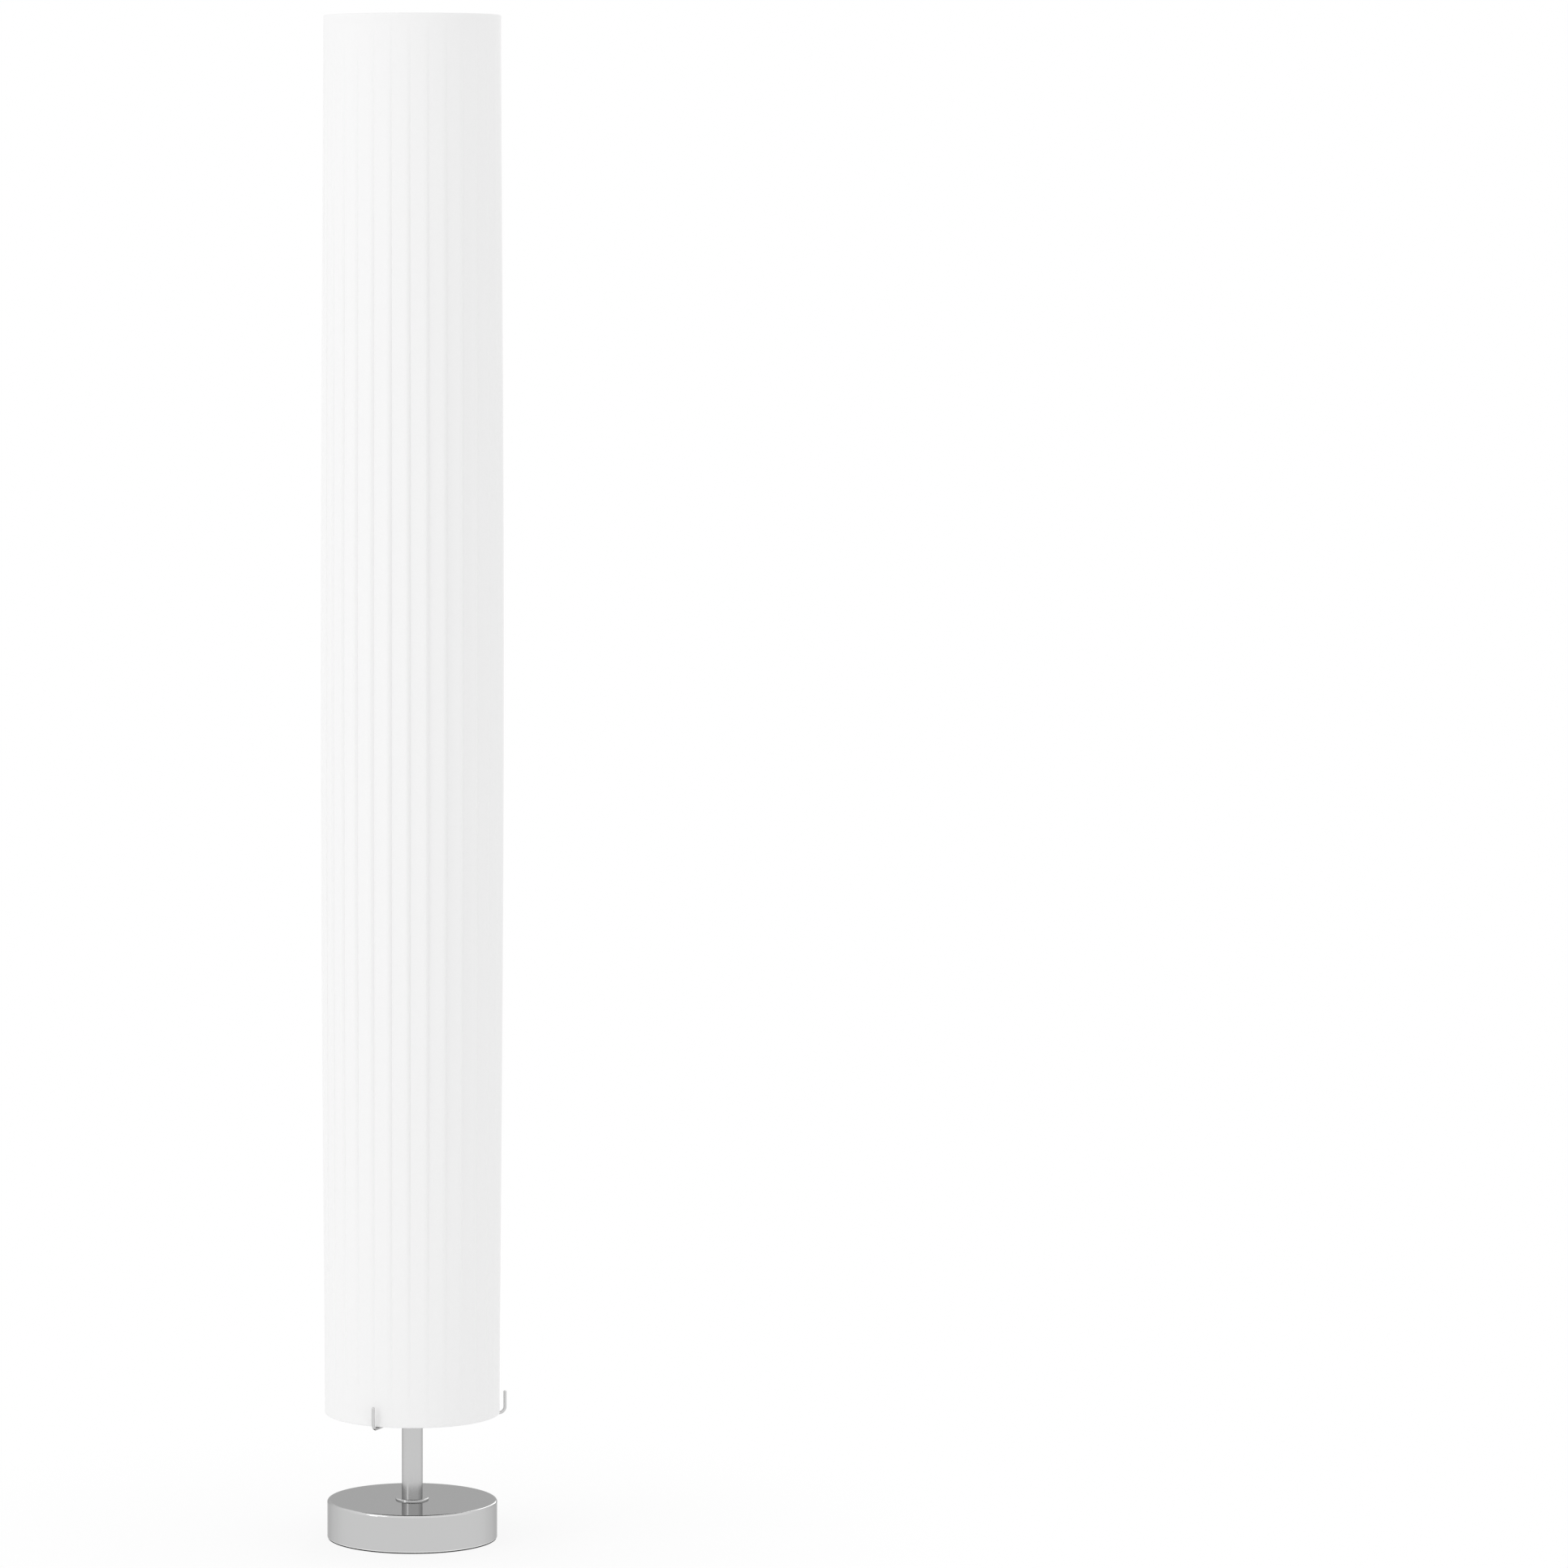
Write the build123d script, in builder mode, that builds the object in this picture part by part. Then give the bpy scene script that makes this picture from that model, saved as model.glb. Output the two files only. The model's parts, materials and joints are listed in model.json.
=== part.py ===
"""Column floor lamp: a tall knife-pleated shade standing on three wire hooks above a weighted drum base.

Millimetres, +Z up, origin on the floor under the middle of the base.
The front of the lamp faces -Y, and the cord inlet is at the back, on the +Y side.
"""

import os
from math import atan2, cos, degrees, pi, radians, sin, sqrt

from build123d import *

os.makedirs("parts", exist_ok=True)

# Driving dimensions of the drum base.
PAD_THICK = 3.0
PAD_PROUD = 1.0
PAD_PLAY = 1.4
PAD_FLANGE_INSET = 0.7
BASE_DIA = 135.0
COVER_HEIGHT = 29.5
COVER_WALL = 1.2
COVER_EDGE_RADIUS = 2.0
COVER_LIP_RADIUS = 0.5
WEIGHT_PLAY = 0.8
WEIGHT_WEB = 10.0
NUT_RECESS_DIA = 34.0

# The threaded lamp tubes, their nuts and washers.
THREAD_DIA = 10.0
THREAD_BORE = 7.0
THREAD_PLAY = 0.1
THREAD_GRIP = 12.0
NUT_ACROSS_FLATS = 16.0
NUT_THICK = 5.0
NUT_STAND_OUT = 1.5
NUT_CHAMFER_ANGLE = 30.0
CAP_NUT_EDGE_RADIUS = 7.0
WASHER_DIA = 20.0
WASHER_THICK = 1.2

# The cord inlet bush and the terminal block inside the base.
INLET_BORE = 7.0
INLET_NECK_DIA = 10.0
INLET_FLANGE_DIA = 14.0
INLET_FLANGE_THICK = 1.8
INLET_EDGE_RADIUS = 0.9
INLET_PLAY = 0.1
INLET_LENGTH = 12.0
INLET_HEIGHT = 10.0
CHANNEL_WIDTH = 24.0
CHANNEL_HEIGHT = 16.0
BLOCK_WIDTH = 17.0
BLOCK_LENGTH = 20.0
BLOCK_HEIGHT = 10.0
BLOCK_CORNER_RADIUS = 2.0
BLOCK_DISTANCE = 22.0
POLE_SPACING = 8.0
BARREL_DIA = 5.0
BARREL_BORE = 3.2
BARREL_PLAY = 0.1
TERMINAL_SCREW_DIA = 2.8
TERMINAL_SCREW_PITCH = 10.0

# The visible stem and its collar.
STEM_DIA = 16.5
STEM_WALL = 1.2
STEM_BUSH_PLAY = 0.05
COLLAR_DIA = 26.5
COLLAR_THICK = 1.5
COLLAR_EDGE_RADIUS = 1.1

# The pleated shade.
SHADE_FOOT = 100.0
SHADE_HEIGHT = 1100.0
SHADE_END_DIA = 138.5
SHADE_MID_DIA = 144.0
QUARTER_BULGE = 0.66
PLEATS = 30
FIRST_FOLD_ANGLE = -91.3
PLEAT_TUCK = 0.75
PLEAT_CROWN = 0.5
PLEAT_CROWN_DROP = 0.6
PRESSED_DEPTH = 0.25
CLOTH = 0.6
LINER_WALL = 0.5
RING_WIRE = 2.5
HEM_HEIGHT = 4.0
HEM_WALL = 0.3
SHADE_FIT = 0.1

# The wire hooks that carry the shade, and their hub.
HOOK_COUNT = 3
HOOK_AZIMUTH = -24.5
HOOK_WIRE = 2.4
HOOK_GAP = 3.4
HOOK_RISE = 19.0
HOOK_BEND_RADIUS = 5.0
HOOK_TIP_RADIUS = 0.8
HOOK_SOCKET_DEPTH = 8.0
HOOK_SOCKET_PLAY = 0.05
SEAT_GAP = 0.3
HUB_DIA = 34.0
HUB_THICK = 6.0
HUB_CHAMFER = 0.8

# The inner pole and the side plates that carry the lampholders.
POLE_DIA = 13.0
LOWER_POLE_LENGTH = 320.0
UPPER_POLE_LENGTH = 565.0
PLATE_THICK = 2.0
PLATE_WIDTH = 18.0
LIGHT_OFFSET = 33.0

# One screw lampholder, measured up from its side plate.
HOLDER_CAP_HEIGHT = 21.0
HOLDER_CAP_FOOT_DIA = 24.0
HOLDER_CAP_SHOULDER = 9.0
HOLDER_DIA = 41.0
HOLDER_WALL = 2.0
HOLDER_SPIGOT = 9.0
HOLDER_PLAY = 0.15
SKIRT_HEIGHT = 36.0
SKIRT_MOUTH_DIA = 30.0
CORE_THICK = 6.0
CORE_HOLE_DIA = 3.6
CORE_HOLE_SPACING = 16.0
SLEEVE_BORE = 27.6
SLEEVE_WALL = 0.5
SLEEVE_LENGTH = 25.0
CONTACT_WIDTH = 6.0
CONTACT_THICK = 0.6
CONTACT_RISE = 3.4
CONTACT_LENGTH = 9.0

# One round lamp bulb.
BULB_DIA = 45.0
BULB_LENGTH = 79.0
BULB_WALL = 1.0
BULB_NECK_DIA = 24.0
BULB_CAP_DIA = 26.6
BULB_CAP_LENGTH = 20.0
BULB_CAP_WALL = 0.4
BULB_GAP = 0.3
EYELET_DIA = 9.0
EYELET_THICK = 0.8
INSULATOR_HEIGHT = 4.0
EMITTER_PLUG_HEIGHT = 9.0
EMITTER_DIA = 12.0
EMITTER_HEIGHT = 8.0
BULB_NECK_BLEND = 10.0
BULB_SOCKET_DEPTH = 4.0

# The inner leads.
LEAD_DIA = 3.0
LEAD_SPACING = 3.4
LEAD_BEND_RADIUS = 6.0
LEAD_DROP = 20.0
LEAD_END_GAP = 0.3
LEAD_HOLE_PLAY = 1.0

# Heights and radii that follow from the driving dimensions.
thread_radius = THREAD_DIA / 2
thread_hole_radius = thread_radius + THREAD_PLAY
base_top = PAD_PROUD + COVER_HEIGHT
cover_inner_radius = BASE_DIA / 2 - COVER_WALL
cover_ceiling = base_top - COVER_WALL
recess_ceiling = cover_ceiling - WEIGHT_WEB
nut_top = recess_ceiling - WASHER_THICK
nipple_foot = nut_top - NUT_THICK - NUT_STAND_OUT
stem_foot = base_top + COLLAR_THICK
wire_height = SHADE_FOOT - SEAT_GAP - HOOK_WIRE / 2
hub_foot = wire_height - HUB_THICK / 2
hub_top = wire_height + HUB_THICK / 2
lower_plate_foot = hub_top + LOWER_POLE_LENGTH
upper_pole_foot = lower_plate_foot + PLATE_THICK
upper_plate_foot = upper_pole_foot + UPPER_POLE_LENGTH

shade_top = SHADE_FOOT + SHADE_HEIGHT
shade_end_radius = SHADE_END_DIA / 2
crest_end_radius = shade_end_radius - HEM_WALL - SHADE_FIT
crest_mid_radius = SHADE_MID_DIA / 2
valley_radius = crest_end_radius - PRESSED_DEPTH
liner_radius = valley_radius - CLOTH - SHADE_FIT
ring_radius = liner_radius - LINER_WALL - SHADE_FIT - RING_WIRE / 2
hem_inner_radius = ring_radius - RING_WIRE / 2 - SHADE_FIT - HEM_WALL
cloth_foot = SHADE_FOOT + HEM_WALL + SHADE_FIT
cloth_top = shade_top - HEM_WALL - SHADE_FIT
hook_radius = shade_end_radius + HOOK_GAP + HOOK_WIRE / 2


def save(piece, name):
    """Labels a finished piece and writes its STEP file."""
    piece.part.label = name
    export_step(piece.part, f"parts/{name}.step")


def polar(radius, degrees):
    """A point at an angle that is counted from +X towards +Y."""
    return (radius * cos(radians(degrees)), radius * sin(radians(degrees)))


def hook_angle(index):
    """The direction of one wire hook. Azimuth 0 is the front, and it grows towards +X."""
    return HOOK_AZIMUTH + index * 360 / HOOK_COUNT - 90


def threaded_tube(name, foot, top, x=0.0):
    """A lamp nipple: an all-thread tube standing on the plane at foot."""
    with BuildPart() as nipple:
        with BuildSketch(Plane(origin=(x, 0, foot))):
            Circle(thread_radius)
            Circle(THREAD_BORE / 2, mode=Mode.SUBTRACT)
        extrude(amount=top - foot)
    save(nipple, name)


def hex_nut(name, foot, x=0.0):
    """A hexagon nut with chamfered corners, standing on the plane at foot."""
    corner_radius = NUT_ACROSS_FLATS / 2 / cos(pi / 6)
    with BuildPart() as nut:
        with BuildSketch(Plane(origin=(x, 0, foot))):
            RegularPolygon(corner_radius, 6)
            Circle(thread_hole_radius, mode=Mode.SUBTRACT)
        extrude(amount=NUT_THICK)
        with BuildSketch(Plane(origin=(x, 0, foot))):
            Circle(NUT_ACROSS_FLATS / 2)
        extrude(amount=NUT_THICK, taper=-NUT_CHAMFER_ANGLE, mode=Mode.INTERSECT)
    save(nut, name)


def tube(name, foot, length, outer_dia, bore, hole_height=None, hole_side=1):
    """A plain pole tube. A lead leaves it through a round hole on one side, where a hole height is given."""
    with BuildPart() as pole:
        with BuildSketch(Plane.XY.offset(foot)):
            Circle(outer_dia / 2)
            Circle(bore / 2, mode=Mode.SUBTRACT)
        extrude(amount=length)
        if hole_height is not None:
            with BuildSketch(Plane(origin=(0, 0, hole_height), z_dir=(hole_side, 0, 0))):
                Circle(LEAD_DIA / 2 + LEAD_HOLE_PLAY)
            extrude(amount=outer_dia, mode=Mode.SUBTRACT)
    save(pole, name)


def routed(name, diameter, points, bend_radius):
    """A round wire or lead swept along straight runs joined by tangent arcs."""
    with BuildPart() as strand:
        with BuildLine() as route:
            FilletPolyline(*points, radius=bend_radius)
        with BuildSketch(Plane(origin=route.line @ 0, z_dir=route.line % 0)):
            Circle(diameter / 2)
        sweep()
    save(strand, name)


# The drum base: a drawn steel cover over a cast weight, on a soft pad.
with BuildPart() as base_cover:
    with BuildSketch(Plane.XY.offset(PAD_PROUD)):
        Circle(BASE_DIA / 2)
    extrude(amount=COVER_HEIGHT)
    fillet(base_cover.edges().group_by(Axis.Z)[-1], COVER_EDGE_RADIUS)
    offset(amount=-COVER_WALL, openings=base_cover.faces().sort_by(Axis.Z)[0])
    rim_edges = base_cover.edges().group_by(Axis.Z)[0]
    fillet(rim_edges.sort_by(SortBy.RADIUS)[-1], COVER_LIP_RADIUS)
    with Locations((0, 0, base_top)):
        Hole(thread_hole_radius, depth=COVER_WALL * 2)
    with BuildSketch(Plane(origin=(0, 0, INLET_HEIGHT), z_dir=(0, 1, 0))):
        Circle(INLET_NECK_DIA / 2 + INLET_PLAY)
    extrude(amount=BASE_DIA, mode=Mode.SUBTRACT)
save(base_cover, "base_cover")

with BuildPart() as base_weight:
    with BuildSketch(Plane.XY.offset(PAD_THICK)):
        Circle(cover_inner_radius - WEIGHT_PLAY)
    extrude(amount=cover_ceiling - PAD_THICK)
    chamfer(base_weight.edges().group_by(Axis.Z)[-1], COVER_EDGE_RADIUS)
    with BuildSketch(Plane.XY.offset(PAD_THICK)):
        Circle(NUT_RECESS_DIA / 2)
    extrude(amount=recess_ceiling - PAD_THICK, mode=Mode.SUBTRACT)
    with BuildSketch(Plane.XY.offset(PAD_THICK)):
        with Locations((0, BASE_DIA / 4)):
            Rectangle(CHANNEL_WIDTH, BASE_DIA / 2)
    extrude(amount=CHANNEL_HEIGHT, mode=Mode.SUBTRACT)
    with Locations((0, 0, cover_ceiling)):
        Hole(thread_hole_radius, depth=WEIGHT_WEB * 2)
save(base_weight, "base_weight")

# The pad's flange carries the rim of the cover.
with BuildPart() as base_pad:
    with BuildSketch():
        Circle(BASE_DIA / 2 - PAD_FLANGE_INSET)
    extrude(amount=PAD_PROUD)
    with BuildSketch(Plane.XY.offset(PAD_PROUD)):
        Circle(cover_inner_radius - PAD_PLAY)
    extrude(amount=PAD_THICK - PAD_PROUD)
save(base_pad, "base_pad")

threaded_tube("base_nipple", nipple_foot, stem_foot + THREAD_GRIP)
hex_nut("base_nut", nut_top - NUT_THICK)

with BuildPart() as base_washer:
    with BuildSketch(Plane.XY.offset(nut_top)):
        Circle(WASHER_DIA / 2)
        Circle(thread_hole_radius, mode=Mode.SUBTRACT)
    extrude(amount=WASHER_THICK)
save(base_washer, "base_washer")

# The inlet bush snaps into the back wall of the cover, with its flange outside.
inlet_wall = BASE_DIA / 2 + INLET_PLAY
with BuildPart() as inlet_bush:
    with BuildSketch(Plane(origin=(0, inlet_wall, INLET_HEIGHT), z_dir=(0, 1, 0))):
        Circle(INLET_FLANGE_DIA / 2)
    extrude(amount=INLET_FLANGE_THICK)
    fillet(inlet_bush.edges().group_by(Axis.Y)[-1], INLET_EDGE_RADIUS)
    with BuildSketch(Plane(origin=(0, inlet_wall, INLET_HEIGHT), z_dir=(0, -1, 0))):
        Circle(INLET_NECK_DIA / 2)
    extrude(amount=INLET_LENGTH)
    with BuildSketch(Plane(origin=(0, inlet_wall + INLET_FLANGE_THICK, INLET_HEIGHT), z_dir=(0, -1, 0))):
        Circle(INLET_BORE / 2)
    extrude(amount=INLET_LENGTH + INLET_FLANGE_THICK, mode=Mode.SUBTRACT)
save(inlet_bush, "inlet_bush")

# The two-pole terminal block lies on the pad in the weight's channel.
block_middle = BLOCK_DISTANCE + BLOCK_LENGTH / 2
barrel_height = PAD_THICK + BLOCK_HEIGHT / 2
barrel_places = [(-POLE_SPACING / 2, 0), (POLE_SPACING / 2, 0)]
screw_top = PAD_THICK + BLOCK_HEIGHT
screw_foot = barrel_height + BARREL_DIA / 2
with BuildPart() as terminal_block:
    with BuildSketch(Plane.XY.offset(PAD_THICK)):
        with Locations((0, block_middle)):
            RectangleRounded(BLOCK_WIDTH, BLOCK_LENGTH, BLOCK_CORNER_RADIUS)
    extrude(amount=BLOCK_HEIGHT)
    with BuildSketch(Plane(origin=(0, BLOCK_DISTANCE, barrel_height), x_dir=(1, 0, 0), z_dir=(0, 1, 0))):
        with Locations(*barrel_places):
            Circle(BARREL_DIA / 2 + BARREL_PLAY)
    extrude(amount=BLOCK_LENGTH, mode=Mode.SUBTRACT)
    with BuildSketch(Plane.XY.offset(screw_top)):
        with Locations((0, block_middle)):
            with GridLocations(POLE_SPACING, TERMINAL_SCREW_PITCH, 2, 2):
                Circle(TERMINAL_SCREW_DIA / 2 + BARREL_PLAY)
    extrude(amount=barrel_height - screw_top, mode=Mode.SUBTRACT)
save(terminal_block, "terminal_block")

with BuildPart() as terminal_barrels:
    with BuildSketch(Plane(origin=(0, BLOCK_DISTANCE, barrel_height), x_dir=(1, 0, 0), z_dir=(0, 1, 0))):
        with Locations(*barrel_places):
            Circle(BARREL_DIA / 2)
        with Locations(*barrel_places):
            Circle(BARREL_BORE / 2, mode=Mode.SUBTRACT)
    extrude(amount=BLOCK_LENGTH)
save(terminal_barrels, "terminal_barrels")

with BuildPart() as terminal_screws:
    with BuildSketch(Plane.XY.offset(screw_foot)):
        with Locations((0, block_middle)):
            with GridLocations(POLE_SPACING, TERMINAL_SCREW_PITCH, 2, 2):
                Circle(TERMINAL_SCREW_DIA / 2)
    extrude(amount=screw_top - screw_foot)
save(terminal_screws, "terminal_screws")

# The visible stem stands on a rounded collar, with a threaded bush pressed into each end.
with BuildPart() as stem_collar:
    with BuildSketch(Plane.XY.offset(base_top)):
        Circle(COLLAR_DIA / 2)
    extrude(amount=COLLAR_THICK)
    fillet(stem_collar.edges().group_by(Axis.Z)[-1], COLLAR_EDGE_RADIUS)
    with Locations((0, 0, stem_foot)):
        Hole(thread_hole_radius)
save(stem_collar, "stem_collar")

stem_bore = STEM_DIA - 2 * STEM_WALL
bush_dia = stem_bore - 2 * STEM_BUSH_PLAY
tube("stem_tube", stem_foot, hub_foot - stem_foot, STEM_DIA, stem_bore)
tube("stem_lower_bush", stem_foot, THREAD_GRIP, bush_dia, 2 * thread_hole_radius)
tube("stem_upper_bush", hub_foot - THREAD_GRIP, THREAD_GRIP, bush_dia, 2 * thread_hole_radius)

# The shade holder: a hub clamped in the pole, with three bent wires pressed into its rim.
with BuildPart() as holder_hub:
    with BuildSketch(Plane.XY.offset(hub_foot)):
        Circle(HUB_DIA / 2)
    extrude(amount=HUB_THICK)
    chamfer(holder_hub.edges(), HUB_CHAMFER)
    with Locations((0, 0, hub_top)):
        Hole(thread_hole_radius)
    for index in range(HOOK_COUNT):
        out_x, out_y = polar(1, hook_angle(index))
        rim = (out_x * HUB_DIA / 2, out_y * HUB_DIA / 2, wire_height)
        with BuildSketch(Plane(origin=rim, z_dir=(-out_x, -out_y, 0))):
            Circle(HOOK_WIRE / 2 + HOOK_SOCKET_PLAY)
        extrude(amount=HOOK_SOCKET_DEPTH, mode=Mode.SUBTRACT)
save(holder_hub, "holder_hub")

hook_names = ["holder_wire_front", "holder_wire_right", "holder_wire_rear"]
wire_start = HUB_DIA / 2 - HOOK_SOCKET_DEPTH
hook_top = wire_height - HOOK_WIRE / 2 + HOOK_RISE
for index, hook_name in enumerate(hook_names):
    out_x, out_y = polar(1, hook_angle(index))
    inner = (out_x * wire_start, out_y * wire_start, wire_height)
    corner = (out_x * hook_radius, out_y * hook_radius, wire_height)
    tip = (out_x * hook_radius, out_y * hook_radius, hook_top)
    with BuildPart() as hook:
        with BuildLine() as hook_route:
            FilletPolyline(inner, corner, tip, radius=HOOK_BEND_RADIUS)
        with BuildSketch(Plane(origin=inner, z_dir=(out_x, out_y, 0))):
            Circle(HOOK_WIRE / 2)
        sweep()
        fillet(hook.edges().group_by(Axis.Z)[-1], HOOK_TIP_RADIUS)
    save(hook, hook_name)

threaded_tube("holder_nipple", hub_foot - THREAD_GRIP, hub_top + THREAD_GRIP)

# The inner pole: two tubes with the side plates clamped between and above them.
pole_bore = 2 * thread_hole_radius
lower_lead_hole = lower_plate_foot - LEAD_DROP
upper_lead_hole = upper_plate_foot - LEAD_DROP
tube("lower_pole", hub_top, LOWER_POLE_LENGTH, POLE_DIA, pole_bore, lower_lead_hole, -1)
tube("upper_pole", upper_pole_foot, UPPER_POLE_LENGTH, POLE_DIA, pole_bore, upper_lead_hole, 1)
joint_grip = min(THREAD_GRIP, LEAD_DROP - LEAD_DIA)
threaded_tube("pole_joint_nipple", lower_plate_foot - joint_grip, upper_pole_foot + THREAD_GRIP)
cap_nut_foot = upper_plate_foot + PLATE_THICK
threaded_tube("top_nipple", upper_plate_foot - joint_grip, cap_nut_foot + NUT_THICK)

with BuildPart() as top_cap_nut:
    with BuildSketch(Plane.XY.offset(cap_nut_foot)):
        RegularPolygon(NUT_ACROSS_FLATS / 2 / cos(pi / 6), 6)
    extrude(amount=NUT_THICK)
    dome_radius = NUT_ACROSS_FLATS / 2
    with BuildSketch(Plane.XY.offset(cap_nut_foot + NUT_THICK)):
        Circle(dome_radius)
    extrude(amount=dome_radius)
    fillet(top_cap_nut.edges().group_by(Axis.Z)[-1], CAP_NUT_EDGE_RADIUS)
    with BuildSketch(Plane.XY.offset(cap_nut_foot)):
        Circle(thread_hole_radius)
    extrude(amount=NUT_THICK + NUT_STAND_OUT, mode=Mode.SUBTRACT)
save(top_cap_nut, "top_cap_nut")


def make_light(prefix, side, plate_foot, lead_hole):
    """A side plate with its lampholder, bulb and lead. The side is +1 for +X and -1 for -X."""
    x = side * LIGHT_OFFSET
    seat = plate_foot + PLATE_THICK
    upright = Plane(origin=(x, 0, seat), x_dir=(1, 0, 0), z_dir=(0, -1, 0))
    axis = Axis((x, 0, seat), (0, 0, 1))

    with BuildPart() as side_plate:
        with BuildSketch(Plane.XY.offset(plate_foot)):
            with Locations((x / 2, 0)):
                SlotCenterToCenter(LIGHT_OFFSET, PLATE_WIDTH)
            with Locations((0, 0), (x, 0)):
                Circle(thread_hole_radius, mode=Mode.SUBTRACT)
        extrude(amount=PLATE_THICK)
    save(side_plate, f"{prefix}_side_plate")

    side_nut_foot = plate_foot - NUT_THICK
    hex_nut(f"{prefix}_side_nut", side_nut_foot, x)
    threaded_tube(f"{prefix}_side_nipple", side_nut_foot - NUT_STAND_OUT, seat + HOLDER_CAP_SHOULDER, x)

    # The lampholder's cap: a dome with a threaded boss below and a spigot for the skirt above.
    holder_radius = HOLDER_DIA / 2
    spigot_radius = holder_radius - HOLDER_WALL - HOLDER_PLAY
    cap_bore = spigot_radius - HOLDER_WALL
    core_foot = HOLDER_CAP_HEIGHT - CORE_THICK / 2
    spigot_top = HOLDER_CAP_HEIGHT + HOLDER_SPIGOT
    core_radius = cap_bore - HOLDER_PLAY
    ledge_radius = core_radius - HOLDER_WALL
    with BuildPart() as holder_cap:
        with BuildSketch(upright):
            with BuildLine():
                Polyline(
                    (thread_hole_radius, 0),
                    (HOLDER_CAP_FOOT_DIA / 2, 0),
                    (holder_radius, HOLDER_CAP_SHOULDER),
                    (holder_radius, HOLDER_CAP_HEIGHT),
                    (spigot_radius, HOLDER_CAP_HEIGHT),
                    (spigot_radius, spigot_top),
                    (cap_bore, spigot_top),
                    (cap_bore, core_foot),
                    (ledge_radius, core_foot),
                    (ledge_radius, HOLDER_CAP_SHOULDER),
                    (thread_hole_radius, HOLDER_CAP_SHOULDER - HOLDER_WALL),
                    close=True,
                )
            make_face()
        revolve(axis=axis)
    save(holder_cap, f"{prefix}_holder_cap")

    # The skirt screws over the spigot and ends in a narrower mouth.
    skirt_foot = HOLDER_CAP_HEIGHT
    skirt_top = skirt_foot + SKIRT_HEIGHT
    with BuildPart() as holder_skirt:
        with BuildSketch(upright):
            with BuildLine():
                Polyline(
                    (holder_radius - HOLDER_WALL, skirt_foot),
                    (holder_radius, skirt_foot),
                    (holder_radius, skirt_top),
                    (SKIRT_MOUTH_DIA / 2, skirt_top),
                    (SKIRT_MOUTH_DIA / 2, skirt_top - HOLDER_WALL),
                    (holder_radius - HOLDER_WALL, skirt_top - HOLDER_WALL),
                    close=True,
                )
            make_face()
        revolve(axis=axis)
        fillet(holder_skirt.edges().group_by(Axis.Z)[-1].sort_by(SortBy.RADIUS)[-1], HOLDER_WALL / 2)
    save(holder_skirt, f"{prefix}_holder_skirt")

    # The insulating core carries the brass sleeve and the centre contact.
    core_top = core_foot + CORE_THICK
    with BuildPart() as holder_core:
        with BuildSketch(Plane(origin=(x, 0, seat + core_foot))):
            Circle(core_radius)
            with GridLocations(0, CORE_HOLE_SPACING, 1, 2):
                Circle(CORE_HOLE_DIA / 2, mode=Mode.SUBTRACT)
        extrude(amount=CORE_THICK)
    save(holder_core, f"{prefix}_holder_core")

    sleeve_bore_radius = SLEEVE_BORE / 2
    with BuildPart() as thread_sleeve:
        with BuildSketch(Plane(origin=(x, 0, seat + core_top))):
            Circle(sleeve_bore_radius + SLEEVE_WALL)
            Circle(sleeve_bore_radius, mode=Mode.SUBTRACT)
        extrude(amount=SLEEVE_LENGTH)
    save(thread_sleeve, f"{prefix}_thread_sleeve")

    contact_top = core_top + CONTACT_RISE
    with BuildPart() as centre_contact:
        with BuildSketch(Plane(origin=(x, CONTACT_WIDTH / 2, seat), x_dir=(1, 0, 0), z_dir=(0, -1, 0))):
            with BuildLine():
                Polyline(
                    (-CONTACT_LENGTH, core_top),
                    (-CONTACT_LENGTH / 2, core_top),
                    (-CONTACT_LENGTH / 6, contact_top - CONTACT_THICK),
                    (CONTACT_LENGTH / 2, contact_top - CONTACT_THICK),
                    (CONTACT_LENGTH / 2, contact_top),
                    (-CONTACT_LENGTH / 6 - CONTACT_THICK / 2, contact_top),
                    (-CONTACT_LENGTH / 2 - CONTACT_THICK / 2, core_top + CONTACT_THICK),
                    (-CONTACT_LENGTH, core_top + CONTACT_THICK),
                    close=True,
                )
            make_face()
        extrude(amount=CONTACT_WIDTH)
    save(centre_contact, f"{prefix}_centre_contact")

    # The bulb: eyelet, insulator, screw cap, glass globe and the light source in its neck.
    eyelet_foot = contact_top + BULB_GAP
    insulator_foot = eyelet_foot + EYELET_THICK
    cap_foot = insulator_foot + INSULATOR_HEIGHT
    cap_top = cap_foot + BULB_CAP_LENGTH
    globe_foot = cap_top - BULB_SOCKET_DEPTH
    globe_middle = eyelet_foot + BULB_LENGTH - BULB_DIA / 2
    cap_radius = BULB_CAP_DIA / 2
    neck_radius = BULB_NECK_DIA / 2

    with BuildPart() as bulb_eyelet:
        with BuildSketch(Plane(origin=(x, 0, seat + eyelet_foot))):
            Circle(EYELET_DIA / 2)
        extrude(amount=EYELET_THICK)
    save(bulb_eyelet, f"{prefix}_bulb_eyelet")

    with BuildPart() as bulb_insulator:
        with BuildSketch(upright):
            with BuildLine():
                Polyline(
                    (0, insulator_foot),
                    (EYELET_DIA / 2, insulator_foot),
                    (cap_radius - BULB_CAP_WALL, cap_foot),
                    (0, cap_foot),
                    close=True,
                )
            make_face()
        revolve(axis=axis)
    save(bulb_insulator, f"{prefix}_bulb_insulator")

    with BuildPart() as bulb_cap:
        with BuildSketch(Plane(origin=(x, 0, seat + cap_foot))):
            Circle(cap_radius)
        extrude(amount=BULB_CAP_LENGTH)
        offset(amount=-BULB_CAP_WALL, openings=bulb_cap.faces().sort_by(Axis.Z)[-1])
    save(bulb_cap, f"{prefix}_bulb_cap")

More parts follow.
